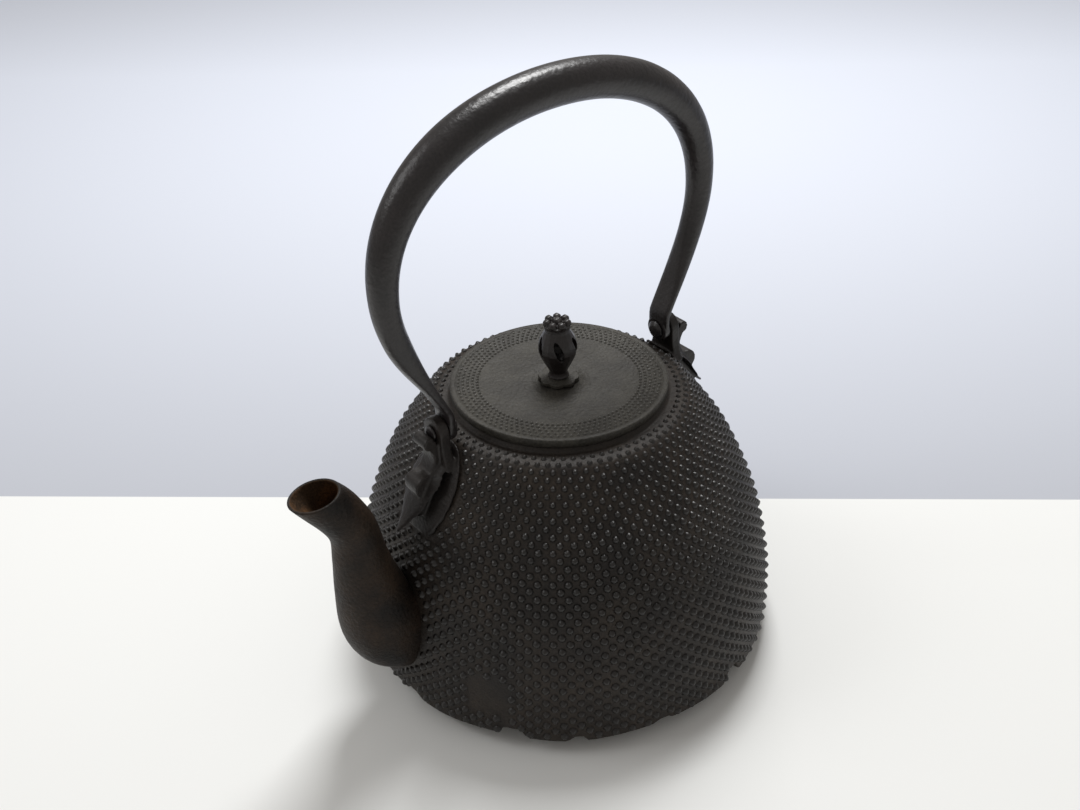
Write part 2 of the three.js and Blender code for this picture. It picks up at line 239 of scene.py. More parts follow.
# %% Settle and cut
def settle(piece):
    bpy.context.view_layer.update()
    evaluated = piece.evaluated_get(bpy.context.evaluated_depsgraph_get())
    mesh = bpy.data.meshes.new_from_object(evaluated)
    piece.modifiers.clear()
    piece.data = mesh


def cut(piece, tool, operation="DIFFERENCE"):
    modifier = piece.modifiers.new("cut", "BOOLEAN")
    modifier.operation = operation
    modifier.object = tool
    modifier.solver = "EXACT"
    settle(piece)
    bpy.data.objects.remove(tool)


# %% [markdown]
# ## Smooth curves
# The body's side and the spout are drawn as a few points that a smooth curve runs through, and
# gradual changes, such as a taper, follow a soft step instead of a corner.

# %% Curve helpers
def spline(points, u):
    """The place at share u of a smooth curve through the points, each span an equal share."""
    span = u * (len(points) - 1)
    i = min(int(span), len(points) - 2)
    t = span - i
    near = [points[max(i - 1, 0)], points[i], points[i + 1], points[min(i + 2, len(points) - 1)]]
    place = []
    for a, b, c, d in zip(*near):
        v, w = (c - a) / 2, (d - b) / 2
        cubic, square = 2 * b - 2 * c + v + w, -3 * b + 3 * c - 2 * v - w
        place.append(cubic * t ** 3 + square * t ** 2 + v * t + b)
    return place


def smoothstep(x, low, high):
    t = min(max((x - low) / (high - low), 0), 1)
    return t * t * (3 - 2 * t)


# %% [markdown]
# ## The side of the body
# The side is one turned profile: a flat land round the collar, a cone-like shoulder, then a wall
# that grows nearly upright. The same profile serves for the outside, for the inside one wall
# thickness further in, and later for the rings of nubs. The sizes repeat those of the frame, but
# the hem hangs a little lower here, as it does in the photograph.

# %% Sizes and side profile
WALL, SKIRT, HEM_RADIUS, HEM_HEIGHT = 3.2, 2.8, 85.2, 6.4
FOOT_RADIUS, BOTTOM, SKIRT_ROOT = 60.0, 3.5, 16.0
SHOULDER_Z, COLLAR_RADIUS, COLLAR_HEIGHT, MOUTH_RADIUS = 110.6, 42.0, 1.8, 37.0
SIDE = [(43.4, 110.6), (48, 110.4), (52, 108), (61, 95.2), (68, 84.1), (78.7, 58.6),
        (84, 34.8), (85.2, 20), (HEM_RADIUS, HEM_HEIGHT)]


def side_profile(steps, grow=0.0):
    """Points (radius, height) down the side, moved outwards by grow."""
    places = [spline(SIDE, i / steps) for i in range(steps + 1)]
    grown = []
    for i, (r, z) in enumerate(places):
        (r0, z0), (r1, z1) = places[max(i - 1, 0)], places[min(i + 1, steps)]
        length = math.hypot(r1 - r0, z1 - z0)
        grown.append((r - (z1 - z0) / length * grow, z + (r1 - r0) / length * grow))
    return grown


print("side runs from", SIDE[0], "to", SIDE[-1], "mm")

# %% [markdown]
# ## The worn hem
# The lower edge is a ragged skirt, a form taken from old kettles whose bottoms had rusted away and
# were replaced by smaller ones. It hangs free of the narrower pan that the kettle really stands on.
# The edge gets a slight wave and short, deep bays between long plain stretches.

# %% Hem
HEM_BAYS = [(22, 4, 3.5), (55, 3, 2.5), (96, 4.5, 5), (131, 3, 3), (158, 3.5, 4), (186, 2.5, 2),
            (217, 3.6, 3.8), (234, 2.2, 2.4), (257, 2.5, 1.4), (282, 3, 6), (318, 3.2, 3),
            (346, 4, 4.5)]             # middle and half width in degrees, rise in mm
HEM_WAVES, HEM_WAVE_RISE, HEM_WAVE_DRIFT = 9, 0.6, 1.3
HEM_STRETCH = 12                       # how far above the hem the wall stretches with it
BAY_TOP, BAY_FOOT = 0.5, 1.2           # shares of its half width where a bay is level, and ends
SKIRT_CLEARANCE = 0.5


def hem_lift(angle):
    degrees = math.degrees(angle)
    wave = math.cos(HEM_WAVES * angle + HEM_WAVE_DRIFT * math.sin(2 * angle))
    lift = HEM_WAVE_RISE * (1 - wave)
    for middle, half, rise in HEM_BAYS:
        away = abs((degrees - middle + 180) % 360 - 180)
        lift += rise * (1 - smoothstep(away, BAY_TOP * half, BAY_FOOT * half))
    return lift


def hem_shape(r, z, angle):
    """Lifts the skirt into its bays, and stretches the wall just above along with it."""
    if r < HEM_RADIUS - SKIRT - SKIRT_CLEARANCE or z > HEM_HEIGHT + HEM_STRETCH:
        return r, z
    return r, z + hem_lift(angle) * max(0.0, 1 - (z - HEM_HEIGHT) / HEM_STRETCH)


print("hem bays:", len(HEM_BAYS), "highest", max(rise for _, _, rise in HEM_BAYS), "mm")

# %% [markdown]
# ## The body's skin
# The profile runs once round the whole wall: from the middle of the bottom, under the pan and the
# skirt, up the side, over the collar, and down the inside to the middle of the floor. The outside
# is nearly black, and the inside has the brown of iron that has boiled water for years.

# %% Body shell
BODY_IRON = iron("body_iron", (0.012, 0.0095, 0.008), (0.026, 0.0195, 0.0145), 0.5,
                 grain=0.6, specular=0.28)
INSIDE_RUST = iron("inside_rust", (0.035, 0.02, 0.01), (0.13, 0.06, 0.022), 0.8,
                   grain=0.9, specular=0.2)
BODY_SIDES, SIDE_STEPS, INSIDE_STEPS = 312, 60, 40

outer = side_profile(SIDE_STEPS)
inner = [(r, z) for r, z in side_profile(INSIDE_STEPS, -WALL)
         if SKIRT_ROOT + 6 < z < SHOULDER_Z - WALL + 0.01]
pan = [(0, 0), (FOOT_RADIUS, 0), (FOOT_RADIUS + 6, 1.6), (FOOT_RADIUS + 13.5, 7.5),
       (HEM_RADIUS - 7, SKIRT_ROOT), (HEM_RADIUS - SKIRT - 1.6, SKIRT_ROOT),
       (HEM_RADIUS - SKIRT, HEM_HEIGHT)]
collar = [(COLLAR_RADIUS + 0.3, SHOULDER_Z + 0.3), (COLLAR_RADIUS, SHOULDER_Z + COLLAR_HEIGHT),
          (MOUTH_RADIUS, SHOULDER_Z + COLLAR_HEIGHT)]
inside = [(MOUTH_RADIUS, SHOULDER_Z - WALL), *inner, (HEM_RADIUS - 6.5, 22), (HEM_RADIUS - 12, 12.5),
          (FOOT_RADIUS + 3, BOTTOM + 1.6), (FOOT_RADIUS - 4, BOTTOM), (0, BOTTOM)]
body = skin("body_shell",
            turned_rings([*pan, *outer[::-1], *collar, *inside], BODY_SIDES, hem_shape),
            inner_from=len(pan) + len(outer) + len(collar), materials=(BODY_IRON, INSIDE_RUST))
print("body shell faces:", len(body.data.polygons))

# %% [markdown]
# ## The spout
# An S-shaped tube with a full belly low on the body, a narrow neck and a level, flared mouth. It
# could be swept along a path with one round section, but the belly is taller than it is wide. So
# it is a loft: each station has a centre, a tilt, a half height and a half width.

# %% Spout stations
SPOUT_WALL, LIP_THINNING, LIP_FROM = 2.4, 1.2, 0.86
STATIONS = [(-66, 38, 0, 22, 13), (-82, 39.5, 12, 21, 14.6), (-90.6, 48.5, 58, 16.4, 15.2),
            (-93.2, 65, 82, 12.8, 12.5), (-94.8, 79.5, 86, 10.2, 10), (-96, 92, 76, 9, 8.8),
            (-100.8, 102.6, 66, 8.9, 8.6), (-108.4, 113.6, 84, 9.7, 8.6)]


def spout_ring(u, inset, sides, push=0.0):
    """The section at share u, drawn in by inset and pushed forwards along the spout."""
    x, z, tilt, high, wide = spline(STATIONS, u)
    a = math.radians(tilt)
    ring = []
    for k in range(sides):
        t = 2 * math.pi * k / sides
        h = (high - inset) * math.cos(t)
        ring.append((x - math.cos(a) * push + math.sin(a) * h, (wide - inset) * math.sin(t),
                     z + math.sin(a) * push + math.cos(a) * h))
    return ring


# %% [markdown]
# ## One skin round the lip
# The outside, the rounded lip and the bore are one closed skin, and the iron thins towards the lip,
# which is sharp on the real kettle. Rust shows inside the mouth, and the outside is a little browner
# than the body, because steam and water run over it.

# %% Spout shell
SPOUT_IRON = iron("spout_iron", (0.007, 0.0055, 0.0045), (0.026, 0.0165, 0.0105), 0.55,
                  grain=0.9, grain_size=1.5, specular=0.22)
SPOUT_RINGS, SPOUT_SIDES = 72, 48
LIP = ((0.25, 0.25), (0.6, 0.35), (0.95, 0.25))        # inset and push of each ring of the lip


def bore_inset(u):
    return SPOUT_WALL - LIP_THINNING * smoothstep(u, LIP_FROM, 1)


shares = [i / SPOUT_RINGS for i in range(SPOUT_RINGS + 1)]
outside = [spout_ring(u, 0, SPOUT_SIDES) for u in shares]
lip = [spout_ring(1, inset, SPOUT_SIDES, push) for inset, push in LIP]
bore = [spout_ring(u, bore_inset(u), SPOUT_SIDES) for u in shares[::-1]]
spout = skin("spout_shell", outside + lip + bore, closed=True, inner_from=SPOUT_RINGS + len(LIP),
             materials=(SPOUT_IRON, INSIDE_RUST))
print("spout faces before its cut:", len(spout.data.polygons))

# %% [markdown]
# ## Spout to body
# The stretch of the spout inside the body is cut away with a turned block of the body's own form, a
# little smaller, so that the two skins meet without a gap. The bore is then drilled through the
# wall, because the water has to get out.

# %% Cut the spout and bore the wall
SKIN_OVERLAP, BLOCK_FLOOR, BLOCK_SIDES = 0.4, 2, 180
BORE_RINGS, BORE_SIDES = 40, 32

block = [(0, BLOCK_FLOOR), (HEM_RADIUS - SKIN_OVERLAP, BLOCK_FLOOR),
         *side_profile(SIDE_STEPS, -SKIN_OVERLAP)[::-1], (0, SHOULDER_Z - SKIN_OVERLAP)]
cut(spout, skin("envelope", turned_rings(block, BLOCK_SIDES)))

drill = [spout_ring(i / BORE_RINGS, SPOUT_WALL, BORE_SIDES) for i in range(BORE_RINGS + 1)]
cut(body, skin("bore_tool", [pole(drill[0]), *drill, pole(drill[-1])]))
for piece, node in ((body, "kettle_body"), (spout, "spout")):
    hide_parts(node)
    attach(piece, "kettle")
print("spout faces:", len(spout.data.polygons))

# %% [markdown]
# ## One nub
# The whole side is covered with small pointed bosses, pressed one by one into the mould. Each is a
# blunt cone of seven sides. There are thousands, so each has only 28 faces. The pattern is drawn one
# metre in radius, and the node tree scales it down to the size that each place needs.

# %% Nub pattern
NUB_PROFILE = [(1.0, -0.25), (0.9, 0.12), (0.62, 0.56), (0.26, 0.9), (0, 1.0)]
NUB_SIDES = 7


def nub_pattern(name):
    metres = [(r / MM, z / MM) for r, z in NUB_PROFILE]
    return skin(name, turned_rings(metres, NUB_SIDES))


# %% [markdown]
# ## The node tree for nubs
# Geometry Nodes set a nub on each of a list of points. Two attributes come with the points: the
# direction in which a nub leans, and its size. The tree's own inputs are the width and height of a
# nub as shares of that size, how much the nubs vary, and a seed.

# %% Inputs of the tree
def nub_inputs(tree):
    face = tree.interface
    face.new_socket("Geometry", in_out="INPUT", socket_type="NodeSocketGeometry")
    for label, value in (("Nub width", 1.0), ("Nub height", 1.0), ("Variation", 0.08)):
        socket = face.new_socket(label, in_out="INPUT", socket_type="NodeSocketFloat")
        socket.default_value = value
    seed = face.new_socket("Seed", in_out="INPUT", socket_type="NodeSocketInt")
    seed.default_value = 7
    face.new_socket("Geometry", in_out="OUTPUT", socket_type="NodeSocketGeometry")
    return tree.nodes.new("NodeGroupInput")


# %% [markdown]
# ## Lean and size
# A nub stands square to the wall, so its own upright axis is turned to the lean that its point
# carries. Its size is the one its point carries, made a little smaller by chance, because nubs that
# are pressed by hand never come out alike.

# %% Turn and scale
def attribute(tree, label, kind):
    node = tree.nodes.new("GeometryNodeInputNamedAttribute")
    node.data_type = kind
    node.inputs["Name"].default_value = label
    return node.outputs["Attribute"]


def nub_turn(tree):
    turn = tree.nodes.new("FunctionNodeAlignRotationToVector")
    turn.axis = "Z"
    tree.links.new(attribute(tree, "lean", "FLOAT_VECTOR"), turn.inputs["Vector"])
    return turn.outputs["Rotation"]


def nub_scale(tree, start):
    """Width and height, times the nub's own size, times a share drawn just below one."""
    nodes, links = tree.nodes, tree.links
    shape = nodes.new("ShaderNodeCombineXYZ")
    for axis, label in (("X", "Nub width"), ("Y", "Nub width"), ("Z", "Nub height")):
        links.new(start.outputs[label], shape.inputs[axis])
    lowest = nodes.new("ShaderNodeMath")
    lowest.operation = "SUBTRACT"
    lowest.inputs[0].default_value = 1.0
    links.new(start.outputs["Variation"], lowest.inputs[1])
    chance = nodes.new("FunctionNodeRandomValue")     # inputs 2 and 3 and output 1 are its floats
    links.new(lowest.outputs["Value"], chance.inputs[2])
    chance.inputs[3].default_value = 1.0
    links.new(start.outputs["Seed"], chance.inputs["Seed"])
    grown = nodes.new("ShaderNodeMath")
    grown.operation = "MULTIPLY"
    links.new(attribute(tree, "size", "FLOAT"), grown.inputs[0])
    links.new(chance.outputs[1], grown.inputs[1])
    scaled = nodes.new("ShaderNodeVectorMath")
    scaled.operation = "SCALE"
    links.new(shape.outputs["Vector"], scaled.inputs[0])
    links.new(grown.outputs["Value"], scaled.inputs["Scale"])
    return scaled.outputs["Vector"]


# %% [markdown]
# ## The whole tree
# Instance on Points sets the nubs out. Instances are only references to the pattern, so Realize
# Instances makes real faces of them at the end, and Set Material gives them their iron.

# %% Nub tree
def nub_tree(name, pattern, material):
    tree = bpy.data.node_groups.new(name, "GeometryNodeTree")
    start = nub_inputs(tree)
    nodes, links = tree.nodes, tree.links
    one = nodes.new("GeometryNodeObjectInfo")
    one.inputs["Object"].default_value = pattern
    set_out = nodes.new("GeometryNodeInstanceOnPoints")
    links.new(start.outputs["Geometry"], set_out.inputs["Points"])
    links.new(one.outputs["Geometry"], set_out.inputs["Instance"])
    links.new(nub_turn(tree), set_out.inputs["Rotation"])
    links.new(nub_scale(tree, start), set_out.inputs["Scale"])
    real = nodes.new("GeometryNodeRealizeInstances")
    links.new(set_out.outputs["Instances"], real.inputs["Geometry"])
    coat = nodes.new("GeometryNodeSetMaterial")
    coat.inputs["Material"].default_value = material
    links.new(real.outputs["Geometry"], coat.inputs["Geometry"])
    end = nodes.new("NodeGroupOutput")
    links.new(coat.outputs["Geometry"], end.inputs["Geometry"])
    return tree


# %% [markdown]
# ## A field of nubs
# The points go into a mesh without faces, with the lean and the size of each nub as attributes. The
# modifier's inputs are set by their identifiers before the tree first runs, and the result is kept
# as a plain mesh.

# %% Nub field
def nub_field(name, places, width, height, material, seed):
    """places holds (point in mm, lean, size in mm) for each nub."""
    mesh = bpy.data.meshes.new(name)
    mesh.from_pydata([[c * MM for c in p] for p, _, _ in places], [], [])
    for label, kind in (("lean", "FLOAT_VECTOR"), ("size", "FLOAT")):
        mesh.attributes.new(label, kind, "POINT")
    leans = [c for _, lean, _ in places for c in lean]
    mesh.attributes["lean"].data.foreach_set("vector", leans)
    mesh.attributes["size"].data.foreach_set("value", [size * MM for _, _, size in places])
    piece = as_object(name, mesh)
    pattern = nub_pattern(name + "_pattern")
    tree = nub_tree(name + "_tree", pattern, material)
    modifier = piece.modifiers.new("nubs", "NODES")
    modifier.node_group = tree
    values = {"Nub width": width, "Nub height": height, "Seed": seed}
    for socket in tree.interface.items_tree:
        if socket.in_out == "INPUT" and socket.name in values:
            modifier[socket.identifier] = values[socket.name]
    settle(piece)
    bpy.data.objects.remove(pattern)
    print(name, "nubs:", len(places), "faces:", len(piece.data.polygons))
    return piece


# %% [markdown]
# ## Rings down the side
# The nubs stand in level rings, at equal steps along the wall. Every ring has the same number, so
# the nubs grow with the body's width, from fine ones round the collar to coarse ones low down.

# %% Rows of nubs
NUBS_PER_RING, RING_STEP, FIRST_RING_RADIUS, FINE_STEPS = 82, 2.9, 46.2, 1200


def rings_down_the_side():
    """Walks down the profile and gives the radius, the height and the outward lean of each ring."""
    fine = side_profile(FINE_STEPS)
    travelled, wanted = 0.0, None
    for (r0, z0), (r1, z1) in zip(fine, fine[1:]):
        step = math.hypot(r1 - r0, z1 - z0)
        travelled += step
        if wanted is None and r0 >= FIRST_RING_RADIUS:
            wanted = travelled
        if wanted is not None and travelled >= wanted:
            yield r0, z0, (-(z1 - z0) / step, (r1 - r0) / step)
            wanted += RING_STEP


print("rings of nubs:", len(list(rings_down_the_side())))

# %% [markdown]
# ## Where the iron stays smooth
# The moulder left nubs out where the spout and the lugs are joined on, and on a small plain panel
# low on the front. A nub is dropped when its point falls in one of these places.

# %% Smooth places
LUG_PATCH_X, LUG_PATCH_LONG, LUG_PATCH_WIDE, LUG_PATCH_LOW = 62.0, 12.5, 14.5, 78
PANEL_ANGLE, PANEL_HALF_ANGLE, PANEL_LOW, PANEL_HIGH = 211.0, 5.0, 17.0, 33.0
SPOUT_ROOT_X, SPOUT_ROOT_TOP, SPOUT_MARGIN = -60, 74, 1.6
SLICES, ROOT_SLICES, SLICE_REACH = 60, 25, 4


def under_spout(x, y, z):
    """Whether the point lies within or just beside the spout's sections near its root."""
    if x > SPOUT_ROOT_X or z > SPOUT_ROOT_TOP:
        return False
    for i in range(ROOT_SLICES):
        cx, cz, tilt, high, wide = spline(STATIONS, i / SLICES)
        a = math.radians(tilt)
        along = (x - cx) * math.sin(a) + (z - cz) * math.cos(a)
        away = (x - cx) * math.cos(a) - (z - cz) * math.sin(a)
        share = (along / (high + SPOUT_MARGIN)) ** 2 + (y / (wide + SPOUT_MARGIN)) ** 2
        if abs(away) < SLICE_REACH and share < 1:
            return True
    return False


def left_bare(x, y, z, angle):
    patch = ((abs(x) - LUG_PATCH_X) / LUG_PATCH_LONG) ** 2 + (y / LUG_PATCH_WIDE) ** 2
    near_lug = patch < 1 and z > LUG_PATCH_LOW
    beside_panel = abs(math.degrees(angle) % 360 - PANEL_ANGLE)
    on_panel = beside_panel < PANEL_HALF_ANGLE and PANEL_LOW < z < PANEL_HIGH
    return near_lug or on_panel or under_spout(x, y, z)


# %% [markdown]
# ## Nubs on the body
# Each second ring is turned by half a step, which gives the slanting lines that catch the light. The
# nubs are painted a shade darker than the ground between them, a painted shade for the shadow on
# their undersides, and they are smoother, because their tips have been rubbed for years.

# %% Body nubs
# The darker colour of the nubs is painted shade, for the shadow under each nub.
NUB_IRON_PAINTED_SHADE = iron("nub_iron_painted_shade", (0.005, 0.004, 0.0035), (0.011, 0.0085, 0.007), 0.34,
                grain=0.2, grain_size=0.7, specular=0.5)
NUB_SHARE, LARGEST_NUB = 0.42, 2.35    # size as a share of the step round the ring, and its limit
NUB_WIDTH, NUB_HEIGHT, ABOVE_HEM = 0.8, 0.62, 0.9

body_places = []
for row, (r, z, (out, up)) in enumerate(rings_down_the_side()):
    for k in range(NUBS_PER_RING):
        angle = 2 * math.pi * (k + 0.5 * (row % 2)) / NUBS_PER_RING
        x, y = r * math.cos(angle), r * math.sin(angle)
        if left_bare(x, y, z, angle) or z < HEM_HEIGHT + hem_lift(angle) + ABOVE_HEM:
            continue
        lean = (out * math.cos(angle), out * math.sin(angle), up)
        size = NUB_SHARE * 2 * math.pi * r / NUBS_PER_RING
        body_places.append(((x, y, z), lean, min(size, LARGEST_NUB)))
body_nubs = nub_field("body_nubs", body_places, NUB_WIDTH, NUB_HEIGHT, NUB_IRON_PAINTED_SHADE, seed=7)
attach(body_nubs, "kettle")

# %% [markdown]
# ## The lid
# A flat disc with a plain raised border and a smooth, slightly dished middle. The ring under it
# keeps it in the mouth, and the hole in the middle is for the knob's stem. It is a turned skin
# without poles, because the hole makes the profile a closed loop. The lid is painted a lighter grey
# than the body: painted light, for the light that its top catches from above.

# %% Lid
# The lid's lighter grey is painted light, for the light that its top catches from above.
LID_IRON_PAINTED_LIGHT = iron("lid_iron", (0.022, 0.020, 0.0165), (0.040, 0.037, 0.030), 0.55,
                grain=0.9, grain_size=1.3, specular=0.3)
LID_RADIUS, LID_THICK, LID_GAP, LID_DISH, LID_SIDES = 42.3, 3.2, 0.3, 0.9, 192
RING_RADIUS, RING_THICK, RING_DEPTH, STEM_HOLE, UNDER_FACE = 36.4, 2.2, 6.2, 2.2, 0.8

lid_top = SHOULDER_Z + COLLAR_HEIGHT + LID_GAP + LID_THICK
lid_under = lid_top - LID_THICK
lid_middle = lid_top - LID_DISH
lid_below = [(STEM_HOLE, lid_under - UNDER_FACE),
             (RING_RADIUS - RING_THICK - 0.6, lid_under - UNDER_FACE),
             (RING_RADIUS - RING_THICK, lid_under - RING_DEPTH),
             (RING_RADIUS, lid_under - RING_DEPTH), (RING_RADIUS, lid_under)]
lid_border = [(LID_RADIUS - 0.3, lid_under), (LID_RADIUS, lid_under + 0.4),
              (LID_RADIUS, lid_top - 0.5), (LID_RADIUS - 0.15, lid_top - 0.15),
              (LID_RADIUS - 0.5, lid_top), (LID_RADIUS - 1.8, lid_top),
              (LID_RADIUS - 2.1, lid_top - 0.15), (LID_RADIUS - 2.4, lid_top - 0.4)]
lid_face = [(30.4, lid_top - 0.55), (29.6, lid_top - 0.72), (22, lid_middle + 0.02),
            (14, lid_middle), (STEM_HOLE, lid_middle)]
lid = skin("lid_disc", turned_rings([*lid_below, *lid_border, *lid_face], LID_SIDES), closed=True,
           materials=(LID_IRON_PAINTED_LIGHT,))
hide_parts("lid")
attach(lid, "lid_set")
print("lid top at", round(lid_top, 1), "mm, faces:", len(lid.data.polygons))

# %% [markdown]
# ## Nubs on the lid
# Five rings of finer nubs stand between the border and the smooth middle. They all point straight up
# and shine a little more than the disc. They are also painted lighter than the disc, a painted
# highlight, so they show as bright dots in the light.

# %% Lid nubs
# The lighter colour of the lid nubs is a painted highlight.
LID_NUB_IRON_PAINTED_HIGHLIGHT = iron("lid_nub_iron_painted_highlight", (0.03, 0.028, 0.023), (0.05, 0.047, 0.04), 0.3,
                    grain=0.1, specular=0.7)
LID_ROWS, LID_NUBS, LID_FIRST, LID_STEP = 5, 100, 31.6, 1.85
LID_NUB_SIZE, LID_NUB_SHARE, LID_NUB_FOOT = 0.78, 0.95, 0.5

lid_places = []
for row in range(LID_ROWS):
    r = LID_FIRST + row * LID_STEP
    for k in range(LID_NUBS):
        angle = 2 * math.pi * (k + 0.5 * (row % 2)) / LID_NUBS
        point = (r * math.cos(angle), r * math.sin(angle), lid_top - LID_NUB_FOOT)
        lid_places.append((point, (0, 0, 1), LID_NUB_SIZE))
lid_nubs = nub_field("lid_nubs", lid_places, LID_NUB_SHARE, LID_NUB_SHARE, LID_NUB_IRON_PAINTED_HIGHLIGHT, seed=11)
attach(lid_nubs, "lid_set")

# %% [markdown]
# ## The handle's path
# Half of the handle is three curves: from the crown out to the widest place, in towards the lug, and
# down the flat strap to the pivot. The rings of a loft should be evenly spaced, so the curves are
# measured along their length and walked in equal steps.

# %% Path of the handle
GRIP, SPREAD, CROWN_Z, SPREAD_Z = 7.35, 72.4, 231.3, 177.0
FLAT, STRAP, PIVOT_X, PIVOT_Z = 3.2, 10.4, 52.9, 117.3
BAIL_CURVES = [
    [(0, CROWN_Z), (42, CROWN_Z), (SPREAD, 210), (SPREAD, SPREAD_Z)],
    [(SPREAD, SPREAD_Z), (SPREAD + 0.5, 158), (PIVOT_X + 6.1, PIVOT_Z + 19.7),
     (PIVOT_X, PIVOT_Z + 6.7)],
    [(PIVOT_X, PIVOT_Z + 6.7), (PIVOT_X, PIVOT_Z + 4.5), (PIVOT_X, PIVOT_Z + 2.2),
     (PIVOT_X, PIVOT_Z)]]
CURVE_STEPS = 200


def bezier(points, t):
    s = 1 - t
    return [s ** 3 * a + 3 * s * s * t * b + 3 * s * t * t * c + t ** 3 * d
            for a, b, c, d in zip(*points)]


def even_walk(curves, steps):
    """Points at equal spacing along the joined curves."""
    dense = [bezier(c, i / CURVE_STEPS) for c in curves for i in range(CURVE_STEPS)]
    dense.append(list(curves[-1][-1]))
    lengths = [0.0]
    for a, b in zip(dense, dense[1:]):
        lengths.append(lengths[-1] + math.dist(a, b))
    walk, j = [], 0
    for i in range(steps + 1):
        wanted = lengths[-1] * i / steps
        while j < len(lengths) - 2 and lengths[j + 1] < wanted:
            j += 1
        t = (wanted - lengths[j]) / max(lengths[j + 1] - lengths[j], 1e-9)
        walk.append([a + (b - a) * t for a, b in zip(dense[j], dense[j + 1])])
    return walk


# %% [markdown]
# ## The handle's section
# The grip is thick and round, thins down both arms and flattens into straps that fit inside the
# lugs. The section therefore changes along the path, which a plain sweep can't do, so it is lofted
# like the spout.

# %% Section of the handle
ARM_END, SQUARENESS, HANDLE_SIDES = 4.6, 0.45, 32
TAPER, FLATTENING = (0.22, 0.8), (0.72, 0.93)  # shares of the half over which it thins and flattens


def handle_ring(x, z, tx, tz, u):
    """The section at share u of the half, square to the direction (tx, tz)."""
    taper = GRIP + (ARM_END - GRIP) * smoothstep(u, *TAPER)
    flat = smoothstep(u, *FLATTENING)
    a = taper + (FLAT / 2 - taper) * flat
    b = taper + (STRAP / 2 - taper) * flat
    power = 1 - SQUARENESS * flat
    ring = []
    for k in range(HANDLE_SIDES):
        w = 2 * math.pi * k / HANDLE_SIDES
        c, s = math.cos(w), math.sin(w)
        c = math.copysign(abs(c) ** power, c)
        s = math.copysign(abs(s) ** power, s)
        ring.append((x - tz * a * c, b * s, z + tx * a * c))
    return ring


# %% [markdown]
# ## The loft
# Every ring stands square to the path, whose direction comes from the points before and after it.
# One half is made and mirrored, and a point closes each end. The handle is smoother than the body,
# because hands have polished it.

# %% Loft of the handle
HANDLE_IRON = iron("handle_iron", (0.0085, 0.007, 0.0075), (0.016, 0.013, 0.0135), 0.33,
                   grain=0.35, grain_size=1.6, uneven=0.3, specular=0.5)
HALF_RINGS = 90

walk = even_walk(BAIL_CURVES, HALF_RINGS)
half = []
for i, (x, z) in enumerate(walk):
    (x0, z0), (x1, z1) = walk[max(i - 1, 0)], walk[min(i + 1, HALF_RINGS)]
    if i == 0:
        x0, z0 = -x1, z1
    length = math.hypot(x1 - x0, z1 - z0)
    half.append(handle_ring(x, z, (x1 - x0) / length, (z1 - z0) / length, i / HALF_RINGS))
mirrored = [[(-x, y, z) for x, y, z in ring] for ring in half[:0:-1]]
whole = mirrored + half
handle = skin("handle_bail", [pole(whole[0]), *whole, pole(whole[-1])], materials=(HANDLE_IRON,))
print("handle rings:", len(whole))

# %% [markdown]
# ## Eyes for the rivets
# Each strap ends in a round eye with softened edges, joined on as a short bar across the pivot. A
# hole is then drilled through it, a little wider than the rivet, so that the handle can swing.

# %% Eyes and holes
EYE_EDGE, HOLE_RADIUS, BAR_SIDES = 0.5, 2.2, 48


def bar_along_x(name, radius, x0, x1, edge=0.0):
    profile = [(0, x0), (radius - edge, x0), (radius - 0.3 * edge, x0 + 0.3 * edge),
               (radius, x0 + edge), (radius, x1 - edge), (radius - 0.3 * edge, x1 - 0.3 * edge),
               (radius - edge, x1), (0, x1)]
    turned = turned_rings(profile, BAR_SIDES)
    return skin(name, [[(z, y, x + PIVOT_Z) for x, y, z in ring] for ring in turned])


for middle in (-PIVOT_X, PIVOT_X):
    eye = bar_along_x("eye", STRAP / 2, middle - FLAT / 2, middle + FLAT / 2, EYE_EDGE)
    cut(handle, eye, "UNION")
for middle in (-PIVOT_X, PIVOT_X):
    cut(handle, bar_along_x("hole", HOLE_RADIUS, middle - FLAT, middle + FLAT))
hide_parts("handle")
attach(handle, "bail")
print("handle faces:", len(handle.data.polygons))

# %% [markdown]
# ## Soft castings
# Lugs, rivets and knob are small castings with soft edges. Each starts as a copy of its solid from
# the frame, with its loose triangles merged. A voxel remesh fuses it into one even skin, and a few
# rounds of smoothing wear its edges down the way iron comes out of a sand mould.

# %% From solid to casting
MERGE_WITHIN, WEAR = 0.002, 0.5


def soft_cast(node, name, body_name, material, voxel, rounds):
    mesh_maker = bmesh.new()
    mesh_maker.from_mesh(bpy.data.objects[node].data)
    bmesh.ops.remove_doubles(mesh_maker, verts=mesh_maker.verts, dist=MERGE_WITHIN * MM)
    mesh = bpy.data.meshes.new(name)
    mesh_maker.to_mesh(mesh)
    mesh_maker.free()
    piece = as_object(name, mesh)
    fuse = piece.modifiers.new("fuse", "REMESH")
    fuse.mode = "VOXEL"
    fuse.voxel_size = voxel * MM
    fuse.use_smooth_shade = True
    wear = piece.modifiers.new("wear", "SMOOTH")
    wear.factor = WEAR
    wear.iterations = rounds
    settle(piece)
    piece.data.materials.clear()
    piece.data.materials.append(material)
    for polygon in piece.data.polygons:
        polygon.material_index = 0
        polygon.use_smooth = True
    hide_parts(node)
    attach(piece, body_name)
    print(name, "faces:", len(piece.data.polygons))


# %% [markdown]
# ## Lugs, rivets and knob
# A coarser skin does for the lugs than for the knob with its pierced bud, and the forged rivets
# only lose their corners. The knob shines more than the lid, because a hand takes hold of it.

# %% Small pieces
LUG_IRON = iron("lug_iron", (0.009, 0.0075, 0.007), (0.016, 0.0125, 0.011), 0.46, grain=0.4)
KNOB_IRON = iron("knob_iron", (0.008, 0.006, 0.006), (0.015, 0.011, 0.011), 0.38,
                 grain=0.3, specular=0.5)

